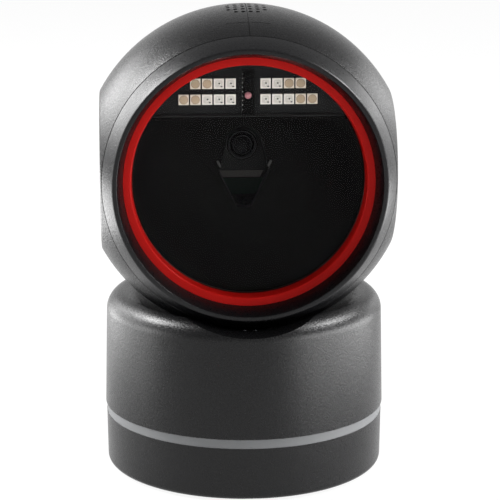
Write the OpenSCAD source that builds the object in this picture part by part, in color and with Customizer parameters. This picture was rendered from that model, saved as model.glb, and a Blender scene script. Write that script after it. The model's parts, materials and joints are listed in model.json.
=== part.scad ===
// Hands-free presentation scanner: a ball head with a round window that tilts on a round weighted base.
// Origin: centre of the base's underside. +Z is up and the window faces -Y.

/* [Base] */
// Radius of the housing at its lower edge
base_r = 43.5; // [43:0.1:45]
// How much smaller the lower housing is at its underside
lower_bottom_inset = 0.5; // [0.4:0.1:1]
// How much smaller the lower housing is where it meets the trim ring
lower_top_inset = 0.3; // [0.2:0.1:0.6]
// Height of the trim ring's lower edge
trim_z = 16.7; // [15:0.1:18]
// Height of the trim ring
trim_h = 2.9; // [2:0.1:4]
// How far the trim ring stands back from the housing
trim_recess = 0.4; // [0.2:0.1:0.8]
// How much smaller the housing is just under its rounded shoulder
housing_top_inset = 0.7; // [0.2:0.1:1.2]
// Height of the housing's flat top
housing_top_z = 55; // [53:0.1:57]
// Radius of the rounded shoulder
shoulder_r = 6; // [4:0.1:7]
// Wall thickness of the base mouldings
base_wall = 2.5; // [2:0.1:3]
// Thickness of the base plate
plate_t = 2.5; // [2:0.1:3.5]
// Radius of the lower housing's rounded lower edge
lower_edge_r = 1.7; // [1:0.1:2]
// Height of the rubber foot ring below the plate
foot_h = 0.5; // [0.3:0.1:1]
// Depth of the groove that holds the foot ring
foot_groove = 1; // [0.6:0.1:1.2]
// Distance of the foot ring from the edge of the underside
foot_inset = 4; // [3.8:0.1:4.5]
// Width of the foot ring
foot_w = 3.6; // [2.5:0.1:3.7]

/* [Head] */
// Height of the tilt axis above the housing's flat top
axis_rise = 39; // [38:0.1:40]
// Depth position of the tilt axis
axis_y = -5; // [-6:0.1:-4]
// Radius of the ball
ball_r = 49.9; // [49:0.1:50.6]
// How much narrower each half of the ball is at its flat side
flat_inset = 6; // [5.5:0.1:7]
// Radius of the rounded rim of each flat
flat_edge_r = 2.8; // [1.5:0.1:4]
// Wall thickness of the ball shells
shell_wall = 2.2; // [1.8:0.1:2.6]
// Gap between the ball and its bowl
bowl_gap = 1.8; // [1.2:0.1:2.4]
// Radius of the rounding along the bowl's rim
bowl_rim_r = 5; // [2:0.5:6]
// How much smaller than the ball the scoop is that opens the front of the bowl
scoop_inset = 6.3; // [5.8:0.1:6.8]
// Width of the fine grooves along the visible seams
seam_w = 0.25; // [0.15:0.05:0.5]
// Depth of the seam grooves
seam_depth = 0.4; // [0.2:0.05:0.6]

/* [Front] */
// Distance of the bezel seam in front of the tilt axis
seam_d = 24.6; // [24:0.1:25.5]
// How far the bezel stands out in front of its seam
bezel_depth = 5.9; // [5:0.1:6.4]
// How much smaller than the seam the bezel's front edge is
bezel_taper = 3.2; // [2.8:0.1:3.8]
// Width of the flat front rim
bezel_rim_w = 1.2; // [0.8:0.1:1.6]
// How far the accent ring's face lies behind the bezel's front edge
accent_depth = 6.5; // [5.5:0.1:7.5]
// How much smaller than the bezel's front edge the accent ring is
accent_inset = 3; // [2.6:0.1:3.2]
// Width of the accent ring's face
accent_w = 2.4; // [2:0.1:2.6]
// How far the window lies behind the accent ring's face
window_depth = 4.8; // [4:0.1:5.5]
// How much smaller than the accent ring the window disc is
window_inset = 0.8; // [0.4:0.1:1.2]
// Thickness of the window
window_t = 2; // [1.5:0.1:2.5]
// Thickness of the gasket behind the window
gasket_t = 0.8; // [0.6:0.1:1]

/* [Tilt joint] */
// Largest tilt with the window turned up, in degrees
tilt_up = 25; // [10:1:28]
// Largest tilt with the window turned down, in degrees
tilt_down = 15; // [8:1:17]
// Radius of the pivot pins
pin_r = 3; // [2.5:0.1:3.4]
// Radial running clearance of the pivot pins
pin_clear = 0.05; // [0.03:0.01:0.08]
// Outer radius of the pivot bushes
bush_r = 4.5; // [4.2:0.1:5]
// Width of the neck from side to side
neck_w = 14; // [12:0.5:18]
// Depth of the neck from front to back
neck_depth = 11; // [9:0.5:12]
// Clearance of the neck in the ball's slot
slot_gap = 1; // [0.8:0.1:1.5]
// Distance of the yoke's half hoop from the ball's flat sides
yoke_inset = 3.9; // [3.5:0.1:4.2]
// Thickness of the yoke's half hoop
yoke_t = 2.6; // [2.4:0.1:2.8]

/* [Electronics] */
// Width of one light-emitting package
led_w = 3; // [2.8:0.1:3.2]
// Sideways pitch of the packages
led_pitch = 3.46; // [3.3:0.02:3.7]
// Offset of the innermost package from the middle
led_first_x = 5.15; // [4.8:0.05:5.3]
// Distance of the lower row below the top of the ring's opening
led_low_inset = 11.15; // [10.9:0.05:11.6]
// Distance between the two rows
led_row_gap = 4.7; // [4.4:0.05:4.9]
// Height of the camera lens above the tilt axis
imager_u = 4.5; // [2:0.1:6]
// Radius of the camera lens
imager_lens_r = 3.9; // [3:0.1:4.2]
// Thickness of the circuit boards
board_t = 1.6; // [1:0.1:2]

/* [Speaker grille] */
// Diameter of one grille hole
grille_hole_d = 1.3; // [0.8:0.1:1.6]
// Sideways pitch of the holes
grille_pitch_x = 2.17; // [2:0.05:2.5]
// Fore-and-aft pitch of the holes
grille_pitch_y = 2.6; // [2.2:0.05:2.8]
// Number of hole columns
grille_columns = 6; // [4:2:6]
// Number of hole rows
grille_rows = 5; // [3:2:5]
// Distance of the fine arc line in front of the tilt axis
arc_line_d = 17.6; // [15:0.2:20]
// Length of the fine arc line
arc_line_w = 13; // [8:0.5:16]

/* [Cable socket] */
// Outside width of the socket
socket_w = 15; // [14:0.5:17]
// Outside height of the socket
socket_h = 11.5; // [11:0.5:12]
// Depth of the socket
socket_depth = 17; // [15:0.5:18]
// Width of the plug cavity
cavity_w = 11.8; // [10:0.1:12]
// Height of the plug cavity
cavity_h = 7.2; // [6:0.1:7.6]
// Depth of the plug cavity
cavity_depth = 13; // [10:0.5:13.5]

/* [Hidden] */

$fn = 96;
// Overshoot of a cutting shape, so that no cut ends in a shared face
cut = 1;
// Small overlap of shapes that join into one
merge = 0.01;

// Base stack
housing_bottom_r = base_r;
housing_top_r = base_r - housing_top_inset;
lower_bottom_r = base_r - lower_bottom_inset;
lower_top_r = base_r - lower_top_inset;
foot_outer_r = lower_bottom_r - foot_inset;
axis_z = housing_top_z + axis_rise;
scoop_r = ball_r - scoop_inset;
trim_top_z = trim_z + trim_h;
plate_z = foot_h;
floor_top_z = plate_z + plate_t;
// Side gap of a piece that drops into a recess
seat_gap = 0.1;
// Spare depth of a screw hole past the screw's tip
hole_spare = 0.5;
// Radial clearance of a screw's shank in a through hole
shank_gap = 0.2;
// Radial clearance of a screw's head in its counterbore
head_gap = 0.3;
plate_r = lower_bottom_r - base_wall - seat_gap;
ledge_w = 1.2;
ledge_h = 1.2;
trim_outer_r = housing_bottom_r - trim_recess;
trim_inner_r = lower_top_r - base_wall - trim_recess;
bowl_r = ball_r + bowl_gap;
bowl_floor_z = axis_z - bowl_r;
boss_r = 3.8;
boss_circle_r = foot_outer_r - foot_w - boss_r;
boss_angles = [45, 135, 225, 315];
screw_r = 1.5;
screw_seat_z = 8;
screw_head_r = 2.7;
screw_head_h = 2;
screw_bite = 10;
ballast_t = 6;
ballast_r = boss_circle_r - boss_r - 1;
ballast_screw_x = 18;
ballast_screw_bite = 1.5;

// Interface board and cable socket
socket_back_y = lower_bottom_r - base_wall - shank_gap;
socket_front_y = socket_back_y - socket_depth;
socket_z = floor_top_z + 0.6;
board_z = socket_z + socket_h;
board_top_z = board_z + board_t;
board_gap = 0.5;
board_half_w = boss_circle_r * cos(45) - boss_r - board_gap;
board_corner_r = trim_inner_r - 1.2;
board_back_y = board_corner_r - 2.1;
// The small screws that hold the boards and the camera
small_screw_r = 1;
small_head_r = 1.9;
small_head_h = 1.2;
board_screw_bite = 5;
board_screw_x = board_half_w - 3;
board_screw_front_y = 7.6 - board_corner_r;
board_screw_back_y = board_back_y - 6.5;
board_screw_spots = [
    [-board_screw_x, board_screw_front_y], [board_screw_x, board_screw_front_y],
    [-board_screw_x, board_screw_back_y], [board_screw_x, board_screw_back_y]
];
board_post_r = 2.2;
pipe_r = 0.6;
pipe_x = 1.6;
pipe_y = 10.3 - base_r;
pipe_web_t = 0.8;
pipe_web_h = 8;
status_led_w = 1.6;
status_led_h = 0.8;
cavity_z = socket_z + 1.5;
contact_count = 8;
contact_pitch = 1.2;
contact_w = 0.5;
contact_h = 0.8;

// Neck and yoke
pad_r = 15;
pad_z = bowl_floor_z - base_wall - 2;
flange_t = 3;
neck_bore_r = 2.6;
neck_screw_circle_r = 11.5;
neck_screw_r = 1.25;
neck_head_r = 2.3;
neck_head_h = 1.6;
neck_screw_bite = 3.5;
flat_half_w = ball_r - flat_inset;
yoke_r = flat_half_w - yoke_inset;
yoke_inner_r = yoke_r - yoke_t;
yoke_half_depth = 4.5;
arm_r = 7.5;
seat_u = -yoke_r - 3;
neck_top_z = axis_z + seat_u;
yoke_screw_x = 4.9;
yoke_screw_r = 0.9;
yoke_head_r = 1.7;
yoke_head_h = 1.1;
yoke_screw_seat_u = -yoke_inner_r - 1.6;
yoke_screw_bite = 5.5;
washer_t = 1.2;
washer_r = 6.5;
pin_head_r = 5;
pin_head_t = 0.8;
pin_seat_spare = 1;
side_gap = 0.3;

// Inside the head
inner_ball_r = ball_r - shell_wall;
inner_half_w = flat_half_w - shell_wall;
seam_r = sqrt(pow(ball_r, 2) - pow(seam_d, 2));
bezel_front_r = seam_r - bezel_taper;
bezel_front_d = seam_d + bezel_depth;
accent_d = bezel_front_d - accent_depth;
window_d = accent_d - window_depth;
accent_outer_r = bezel_front_r - accent_inset;
accent_inner_r = accent_outer_r - accent_w;
window_r = accent_outer_r - window_inset;
cheek_out_x = yoke_inner_r - washer_t - side_gap;
cheek_t = 2.4;
cheek_in_x = cheek_out_x - cheek_t;
cheek_half_h = 6;
rear_wall_half_h = 8;
spigot_r = sqrt(pow(inner_ball_r, 2) - pow(seam_d, 2)) - 0.3;
spigot_back_d = window_d + 0.3;
flange_r = accent_outer_r + 0.8;
flange_d = window_d + 1;
window_back_d = window_d - window_t;
gasket_back_d = window_back_d - gasket_t;
gasket_inner_r = accent_inner_r - 0.1;
frame_ring_t = 3;
frame_ring_back_d = gasket_back_d - frame_ring_t;
frame_ring_inner_r = accent_inner_r + 0.8;
frame_ring_outer_r = inner_half_w - 0.6;
frame_ring_low_u = -28;
rear_wall_d = -24;
rear_wall_t = 2;
bezel_screw_angles = [45, 135, 215, 325];
bezel_boss_r = 1.5;
bezel_screw_circle_r = flange_r + bezel_boss_r + seat_gap;
bezel_screw_r = 0.9;
bezel_head_r = 1.7;
bezel_screw_bite = 3;
slot_forward = tilt_down + asin(neck_depth / 2 / inner_ball_r) + 1.5;
slot_back = tilt_up + asin(neck_depth / 2 / inner_ball_r) + 1.5;
shell_post_spots = [[34, -28], [-30, -32]];
shell_post_r = 3;
shell_screw_r = 1.25;
shell_screw_seat_x = 8;
shell_screw_bite = 8;
shell_head_r = 2.2;
shell_head_h = 1.6;

// Optics
led_t = 0.8;
led_board_front_d = gasket_back_d - 0.2 - led_t;
led_board_back_d = led_board_front_d - board_t;
led_low_u = accent_inner_r - led_low_inset;
led_high_u = led_low_u + led_row_gap;
shelf_t = 1.7;
shelf_u = led_low_u - led_w / 2 - 3 - shelf_t;
led_board_low_u = shelf_u + shelf_t;
strip_half_w = 1.85;
strip_t = 1;
aperture_u = led_high_u + 2.45;
aperture_w = 2.7;
aperture_h = 0.95;
proximity_u = led_high_u + 0.7;
proximity_r = 0.6;
aimer_u = led_low_u + 1.2;
aimer_r = 1.05;
// The baffle is a round dish: its wall, its rim's radius, its deepest point and its sphere
dish_t = 1;
dish_rim_r = accent_inner_r - 0.3;
dish_back_d = -8;
dish_depth = gasket_back_d - dish_back_d;
dish_r = (pow(dish_rim_r, 2) + pow(dish_depth, 2)) / (2 * dish_depth);
dish_centre_d = dish_back_d + dish_r;
hood_front_d = -3.5;
hood_half_w = 16;
waist_u = imager_u - 6.5;
waist_half_w = 7.8;
chin_u = imager_u - 17.5;
chin_half_w = 2.2;
camera_front_d = -14;
camera_body_d = -18;
camera_half_w = 9;
camera_low_u = imager_u - 8.9;
camera_high_u = imager_u + 7;
barrel_r = imager_lens_r + 0.9;
imager_screw_x = 5;
imager_screw_u = imager_u - 6;
imager_screw_bite = 3.5;
bar_top_half_w = 6.9;
bar_low_half_w = 5.9;
bar_h = 2.1;
bar_low_u = camera_low_u - bar_h - 0.1;
decode_front_d = rear_wall_d - rear_wall_t - 2;
decode_half_w = 24;
decode_low_u = -14;
decode_high_u = 20;
decode_post_spots = [[-20, -5], [20, -5], [-20, 5], [20, 5]];
decode_post_r = 2;
decode_screw_bite = 2.5;

// Speaker
speaker_r = 8;
speaker_h = 4;
speaker_gasket_w = 1.6;
speaker_drop = 8.5;
speaker_low_u = inner_ball_r - speaker_drop;
grille_y = 4.9;

// Moves the head's own frame, with x to the right, y up and z forward, to the tilt axis
module head_frame() {
    translate([0, axis_y, axis_z]) rotate([90, 0, 0]) children();
}

// A ring about z from z0 to z1
module ring(outer_r, inner_r, z0, z1) {
    translate([0, 0, z0]) difference() {
        cylinder(r = outer_r, h = z1 - z0);
        translate([0, 0, -cut]) cylinder(r = inner_r, h = z1 - z0 + 2 * cut);
    }
}

// A box given by its lowest and highest corners
module block(low, high) {
    translate(low) cube(high - low);
}

// A cylinder along x from x0 to x1
module axle(r, x0, x1) {
    translate([x0, 0, 0]) rotate([0, 90, 0]) cylinder(r = r, h = x1 - x0);
}

// A pan-head screw with its shank up from z = 0 and its head below
module pan_screw(shank_r, length, head_r, head_h) {
    cylinder(r = shank_r, h = length);
    translate([0, 0, -head_h]) difference() {
        cylinder(r = head_r, h = head_h);
        translate([0, 0, -cut]) cylinder(r = shank_r * 0.6, h = head_h * 0.5 + cut, $fn = 6);
    }
}

// An upright column with a rounded rectangular section
module neck_column(grow, z0, z1) {
    half_w = neck_w / 2 + grow;
    half_d = neck_depth / 2 + grow;
    corner_r = 2.5;
    translate([0, axis_y, z0]) linear_extrude(z1 - z0) {
        square([2 * half_w, 2 * (half_d - corner_r)], center = true);
        square([2 * (half_w - corner_r), 2 * half_d], center = true);
        for (sx = [-1, 1], sy = [-1, 1])
            translate([sx * (half_w - corner_r), sy * (half_d - corner_r)]) circle(r = corner_r);
    }
}

// ---------- Base ----------

// Half section of the housing, moved in from its outer face by inset
module housing_section(inset) {
    shoulder_x = housing_top_r - shoulder_r;
    shoulder_z = housing_top_z - shoulder_r;
    polygon([
        [0, trim_top_z], [housing_bottom_r - inset, trim_top_z],
        [housing_top_r - inset, shoulder_z], [0, shoulder_z]
    ]);
    translate([0, shoulder_z - cut]) square([shoulder_x, shoulder_r - inset + cut]);
    translate([shoulder_x, shoulder_z]) circle(r = shoulder_r - inset);
}

// The ball's bowl with the scoop that opens it at the front, moved out by grow
module bowl_space(grow) {
    translate([0, axis_y, axis_z]) sphere(r = bowl_r + grow, $fn = 180);
    head_frame() cylinder(r = scoop_r + grow, h = housing_bottom_r + cut, $fn = 180);
}

// Two larger cuts that round the bowl's rim in steps, each less steep than the one before
module bowl_rim_rounding() {
    rim_u = housing_top_z - axis_z;
    for (space_r = [bowl_r, scoop_r]) {
        full_angle = acos(-rim_u / space_r);
        centre_x = space_r * sin(full_angle) + bowl_rim_r * tan(full_angle / 2);
        for (share = [1 / 3, 2 / 3]) {
            angle = full_angle * share;
            cut_r = centre_x / sin(angle) - bowl_rim_r;
            lift = rim_u - bowl_rim_r + (bowl_rim_r + cut_r) * cos(angle);
            if (space_r == bowl_r) translate([0, axis_y, axis_z + lift]) sphere(r = cut_r, $fn = 180);
            else head_frame() translate([0, lift, 0])
                cylinder(r = cut_r, h = housing_bottom_r + cut, $fn = 180);
        }
    }
}

module at_base_bosses() {
    for (a = boss_angles) rotate(a) translate([boss_circle_r, 0, 0]) children();
}

module at_neck_screws() {
    for (a = [0, 90, 180, 270])
        translate([0, axis_y, 0]) rotate(a) translate([neck_screw_circle_r, 0, 0]) children();
}

module base_housing() {
    color([0.13, 0.13, 0.14]) difference() {
        rotate_extrude() housing_section(0);
        bowl_space(0);
        bowl_rim_rounding();
        difference() {
            union() {
                rotate_extrude() housing_section(base_wall);
                translate([0, 0, trim_top_z - cut])
                    cylinder(r = housing_bottom_r - base_wall, h = cut + merge);
            }
            bowl_space(base_wall);
            at_base_bosses() translate([0, 0, trim_top_z]) cylinder(r = boss_r, h = housing_top_z);
            translate([0, axis_y, pad_z]) cylinder(r = pad_r, h = housing_top_z);
        }
        at_base_bosses() translate([0, 0, trim_top_z - cut])
            cylinder(r = screw_r, h = screw_bite + cut + hole_spare);
        neck_column(0.2, pad_z - cut, housing_top_z);
        at_neck_screws() translate([0, 0, pad_z - cut])
            cylinder(r = neck_screw_r, h = neck_screw_bite + hole_spare + cut);
        for (side = [-1, 1]) translate([side * pipe_x, pipe_y, trim_top_z])
            cylinder(r = pipe_r, h = housing_top_z, $fn = 24);
    }
}

module trim_ring() {
    color([0.6, 0.61, 0.62]) ring(trim_outer_r, trim_inner_r, trim_z, trim_top_z);
}

// Half section of the lower housing's outer form
module lower_section() {
    edge_x = lower_bottom_r - lower_edge_r;
    edge_z = plate_z + lower_edge_r;
    polygon([
        [0, plate_z], [edge_x, plate_z], [edge_x, edge_z], [lower_bottom_r, edge_z],
        [lower_top_r, trim_z], [0, trim_z]
    ]);
    translate([edge_x, edge_z]) circle(r = lower_edge_r);
}

module lower_housing() {
    inner_r = plate_r + seat_gap;
    color([0.12, 0.12, 0.13]) difference() {
        rotate_extrude() lower_section();
        translate([0, 0, plate_z - cut]) cylinder(r = inner_r, h = plate_t + cut);
        translate([0, 0, plate_z]) cylinder(r = inner_r - ledge_w, h = trim_z);
        translate([0, 0, floor_top_z + ledge_h]) cylinder(
            r1 = inner_r, r2 = lower_top_r - base_wall, h = trim_z - floor_top_z - ledge_h + merge);
        block(
            [-socket_w / 2 - side_gap, socket_front_y, socket_z - side_gap],
            [socket_w / 2 + side_gap, housing_bottom_r + cut, trim_z + cut]
        );
    }
}

module base_plate() {
    color([0.12, 0.12, 0.13]) difference() {
        union() {
            translate([0, 0, plate_z]) cylinder(r = plate_r, h = plate_t);
            at_base_bosses() translate([0, 0, plate_z]) cylinder(r = boss_r, h = trim_top_z - plate_z);
            for (spot = board_screw_spots) translate([spot[0], spot[1], plate_z])
                cylinder(r = board_post_r, h = board_z - plate_z);
        }
        at_base_bosses() {
            translate([0, 0, -cut]) cylinder(r = screw_head_r + head_gap, h = screw_seat_z + cut);
            cylinder(r = screw_r + shank_gap, h = trim_top_z + cut);
        }
        for (spot = board_screw_spots)
            translate([spot[0], spot[1], board_z - board_screw_bite - hole_spare])
                cylinder(r = small_screw_r, h = board_screw_bite + hole_spare + cut);
        for (side = [-1, 1]) translate([side * ballast_screw_x, 0, floor_top_z - ballast_screw_bite])
            cylinder(r = screw_r, h = ballast_screw_bite + cut);
        ring(foot_outer_r, foot_outer_r - foot_w, -cut, plate_z + foot_groove);
    }
}

module foot_ring() {
    color([0.05, 0.05, 0.05]) ring(foot_outer_r, foot_outer_r - foot_w, 0, plate_z + foot_groove);
}

module ballast_plate() {
    color([0.55, 0.56, 0.58]) difference() {
        translate([0, 0, floor_top_z]) cylinder(r = ballast_r, h = ballast_t);
        block([-ballast_r, socket_front_y - 1.5, 0], [ballast_r, ballast_r + cut, board_z]);
        for (side = [-1, 1]) translate([side * ballast_screw_x, 0, 0])
            cylinder(r = screw_r + shank_gap, h = board_z);
    }
}

module ballast_screws() {
    color([0.7, 0.7, 0.72]) for (side = [-1, 1])
        translate([side * ballast_screw_x, 0, floor_top_z + ballast_t]) mirror([0, 0, 1])
            pan_screw(screw_r, ballast_t + ballast_screw_bite, screw_head_r, screw_head_h);
}

module interface_board() {
    color([0.05, 0.3, 0.15]) difference() {
        intersection() {
            translate([0, 0, board_z]) cylinder(r = board_corner_r, h = board_t);
            block([-board_half_w, -board_corner_r, 0], [board_half_w, board_back_y, board_top_z + cut]);
        }
        for (spot = board_screw_spots) translate([spot[0], spot[1], 0])
            cylinder(r = small_screw_r + shank_gap, h = board_top_z + cut);
    }
}

module board_components() {
    drawn_half_w = 18.5;
    color([0.1, 0.1, 0.11]) translate([0, 0, board_top_z]) scale(board_half_w / drawn_half_w) {
        block([-5, -6, 0], [5, 4, 1.4]);
        block([-15, -10, 0], [-9, -2, 1.2]);
        block([8, 8, 0], [14, 13, 1.2]);
        block([-9, 14, 0], [9, 19, 6]);
        for (x = [9, 15]) translate([x, -8, 0]) cylinder(r = 2.5, h = 7);
    }
    color([0.1, 0.1, 0.11]) for (side = [-1, 1]) translate([side * pipe_x, pipe_y, board_top_z])
        block([-status_led_w / 2, -0.5, 0], [status_led_w / 2, 0.5, status_led_h]);
}

module board_screws() {
    color([0.7, 0.7, 0.72]) for (spot = board_screw_spots)
        translate([spot[0], spot[1], board_top_z]) mirror([0, 0, 1])
            pan_screw(small_screw_r, board_t + board_screw_bite, small_head_r, small_head_h);
}

module cable_socket() {
    latch_w = 6;
    latch_h = 1.6;
    color([0.09, 0.09, 0.1]) difference() {
        block([-socket_w / 2, socket_front_y, socket_z], [socket_w / 2, socket_back_y, board_z]);
        block(
            [-cavity_w / 2, socket_back_y - cavity_depth, cavity_z],
            [cavity_w / 2, socket_back_y + cut, cavity_z + cavity_h]
        );
        block(
            [-latch_w / 2, socket_back_y - cavity_depth / 2, cavity_z],
            [latch_w / 2, socket_back_y + cut, cavity_z + cavity_h + latch_h]
        );
    }
}

module socket_contacts() {
    first_x = -(contact_count - 1) / 2 * contact_pitch;
    color([0.85, 0.7, 0.3]) for (i = [0:contact_count - 1])
        translate([first_x + i * contact_pitch, socket_back_y - cavity_depth, cavity_z])
            block([-contact_w / 2, 0, 0], [contact_w / 2, cavity_depth / 2, contact_h]);
}

module base_screws() {
    color([0.7, 0.7, 0.72]) at_base_bosses() translate([0, 0, screw_seat_z])
        pan_screw(screw_r, trim_top_z - screw_seat_z + screw_bite, screw_head_r, screw_head_h);
}

module light_pipes() {
    web_z = (board_top_z + pad_z) / 2;
    color([0.8, 0.85, 0.9, 0.6]) {
        difference() {
            for (side = [-1, 1]) translate([side * pipe_x, pipe_y, board_top_z + status_led_h])
                cylinder(r = pipe_r, h = housing_top_z, $fn = 24);
            bowl_space(seat_gap);
        }
        translate([0, pipe_y, web_z])
            block([-pipe_x, -pipe_web_t / 2, 0], [pipe_x, pipe_web_t / 2, pipe_web_h]);
    }
}

module neck_post() {
    color([0.16, 0.16, 0.17]) difference() {
        union() {
            translate([0, axis_y, pad_z - flange_t]) cylinder(r = pad_r, h = flange_t);
            neck_column(0, pad_z - cut, neck_top_z);
        }
        translate([0, axis_y, 0]) cylinder(r = neck_bore_r, h = axis_z);
        at_neck_screws() cylinder(r = neck_screw_r + shank_gap, h = pad_z + cut);
        for (side = [-1, 1])
            translate([side * yoke_screw_x, axis_y, neck_top_z - yoke_screw_bite - hole_spare])
                cylinder(r = yoke_screw_r, h = yoke_screw_bite + hole_spare + cut);
    }
}

module neck_screws() {
    color([0.7, 0.7, 0.72]) at_neck_screws() translate([0, 0, pad_z - flange_t])
        pan_screw(neck_screw_r, flange_t + neck_screw_bite, neck_head_r, neck_head_h);
}

// ---------- Tilt joint ----------

module tilt_yoke() {
    color([0.5, 0.51, 0.53]) head_frame() difference() {
        union() {
            intersection() {
                cylinder(r = yoke_r, h = 2 * yoke_half_depth, center = true);
                block([-yoke_r, -yoke_r, -yoke_half_depth], [yoke_r, 0, yoke_half_depth]);
            }
            for (side = [-1, 1]) scale([side, 1, 1]) axle(arm_r, yoke_inner_r, yoke_r);
            block(
                [-neck_w / 2, seat_u, -neck_depth / 2],
                [neck_w / 2, -yoke_inner_r - 0.5, neck_depth / 2]
            );
        }
        cylinder(r = yoke_inner_r, h = yoke_r, center = true);
        axle(washer_r + seat_gap, -yoke_inner_r, yoke_inner_r);
        axle(bush_r, -yoke_r - cut, yoke_r + cut);
        rotate([90, 0, 0]) cylinder(r = neck_bore_r, h = -seat_u + cut);
        for (side = [-1, 1]) translate([side * yoke_screw_x, 0, 0]) rotate([90, 0, 0]) {
            cylinder(r = yoke_screw_r + shank_gap, h = -seat_u + cut);
            cylinder(r = yoke_head_r + head_gap, h = -yoke_screw_seat_u);
        }
    }
}

module yoke_screws() {
    color([0.7, 0.7, 0.72]) head_frame() for (side = [-1, 1])
        translate([side * yoke_screw_x, yoke_screw_seat_u, 0]) rotate([90, 0, 0])
            pan_screw(yoke_screw_r, yoke_screw_seat_u - seat_u + yoke_screw_bite, yoke_head_r, yoke_head_h);
}

module pivot_bushes() {
    color([0.72, 0.55, 0.3]) head_frame() for (side = [-1, 1]) scale([side, 1, 1]) difference() {
        axle(bush_r, yoke_inner_r, yoke_r);
        axle(pin_r + pin_clear, 0, yoke_r + cut);
    }
}

module friction_washers() {
    color([0.75, 0.75, 0.76]) head_frame() for (side = [-1, 1]) scale([side, 1, 1]) difference() {
        axle(washer_r, yoke_inner_r - washer_t, yoke_inner_r);
        axle(pin_r + head_gap, 0, yoke_r + cut);
    }
}

module pivot_pins() {
    color([0.78, 0.78, 0.8]) head_frame() for (side = [-1, 1]) scale([side, 1, 1]) {
        axle(pin_r, cheek_in_x - pin_seat_spare, yoke_r + side_gap);
        axle(pin_head_r, yoke_r + side_gap, yoke_r + side_gap + pin_head_t);
    }
}

// ---------- Head shells ----------

// Half section of a ball with two flats and rounded flat rims, drawn with the axis along y
module ball_section(r, half_w, edge_r) {
    edge_x = half_w - edge_r;
    // The rim's circle stands out by merge, so that it meets the ball's circle in a clean crossing
    edge_c = sqrt(pow(r - edge_r + merge, 2) - pow(edge_x, 2));
    far = 2 * r / edge_c;
    intersection() {
        union() {
            intersection() {
                circle(r = r);
                polygon([[0, 0], [edge_c * far, edge_x * far], [edge_c * far, -edge_x * far]]);
            }
            for (side = [-1, 1]) translate([edge_c, side * edge_x]) circle(r = edge_r);
            translate([0, -half_w]) square([edge_c, 2 * half_w]);
        }
        translate([0, -r]) square([r, 2 * r]);
    }
}

module flat_ball(r, half_w, edge_r) {
    rotate([0, 90, 0]) rotate_extrude($fn = 180) ball_section(r, half_w, edge_r);
}

// The path that the neck takes through the ball's underside, with room at both ends of the tilt
module neck_slot() {
    half_w = neck_w / 2 + slot_gap;
    depth = shell_wall + 3;
    rotate([0, 90, 0]) rotate([0, 0, 270 - slot_forward])
        rotate_extrude(angle = slot_forward + slot_back)
            translate([ball_r - depth, -half_w]) square([depth + cut, 2 * half_w]);
}

module grille_holes() {
    for (column = [0:grille_columns - 1], row = [0:grille_rows - 1]) {
        outer_column = column == 0 || column == grille_columns - 1;
        outer_row = row == 0 || row == grille_rows - 1;
        x = (column - (grille_columns - 1) / 2) * grille_pitch_x;
        y = (row - (grille_rows - 1) / 2) * grille_pitch_y;
        if (!(outer_column && outer_row)) translate([x, 0, grille_y + y]) rotate([-90, 0, 0])
            cylinder(r = grille_hole_d / 2, h = ball_r + cut, $fn = 24);
    }
}

module at_shell_posts() {
    for (spot = shell_post_spots) translate([0, spot[0], spot[1]]) children();
}

// One half of the ball's shell; side is -1 for the left half and 1 for the right half
module half_shell(side) {
    head_frame() difference() {
        intersection() {
            flat_ball(ball_r, flat_half_w, flat_edge_r);
            scale([side, 1, 1]) block([0, -ball_r - cut, -ball_r - cut], [ball_r, ball_r + cut, seam_d]);
        }
        difference() {
            flat_ball(inner_ball_r, inner_half_w, flat_edge_r);
            scale([side, 1, 1]) at_shell_posts() axle(shell_post_r, 0, ball_r);
        }
        parting_groove();
        seam_groove();
        arc_line();
        neck_slot();
        grille_holes();
        at_shell_posts() {
            if (side < 0) axle(shell_screw_r, -shell_screw_bite - hole_spare, cut);
            if (side > 0) axle(shell_screw_r + shank_gap, -cut, shell_screw_seat_x + cut);
            if (side > 0) axle(shell_head_r + head_gap, shell_screw_seat_x, ball_r);
        }
    }
}

// The fine groove along the parting line between the two halves
module parting_groove() {
    rotate([0, 90, 0]) difference() {
        cylinder(r = ball_r + cut, h = seam_w, center = true, $fn = 180);
        cylinder(r = ball_r - seam_depth, h = seam_w + cut, center = true, $fn = 180);
    }
}

// The short fine line across the top, in front of the grille
module arc_line() {
    line_w = 0.2;
    line_depth = 0.15;
    surface_r = sqrt(pow(ball_r, 2) - pow(arc_line_d, 2));
    intersection() {
        translate([0, 0, arc_line_d]) difference() {
            cylinder(r = ball_r, h = line_w, $fn = 180);
            translate([0, 0, -cut]) cylinder(r = surface_r - line_depth, h = 3 * cut, $fn = 180);
        }
        block([-arc_line_w / 2, 0, 0], [arc_line_w / 2, ball_r, ball_r]);
    }
}

// The fine groove between the shells and the bezel
module seam_groove() {
    translate([0, 0, seam_d - seam_w]) difference() {
        cylinder(r = ball_r, h = seam_w + cut, $fn = 180);
        translate([0, 0, -cut]) cylinder(r = seam_r - seam_depth, h = seam_w + 3 * cut, $fn = 180);
    }
}

module head_shell_left() {
    color([0.13, 0.13, 0.14]) half_shell(-1);
}

module head_shell_right() {
    color([0.13, 0.13, 0.14]) half_shell(1);
}

module shell_screws() {
    color([0.7, 0.7, 0.72]) head_frame() at_shell_posts() translate([shell_screw_seat_x, 0, 0])
        rotate([0, -90, 0])
            pan_screw(shell_screw_r, shell_screw_seat_x + shell_screw_bite, shell_head_r, shell_head_h);
}

// ---------- Front ----------

module at_bezel_screws() {
    for (a = bezel_screw_angles) rotate(a) translate([bezel_screw_circle_r, 0, 0]) children();
}

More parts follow.
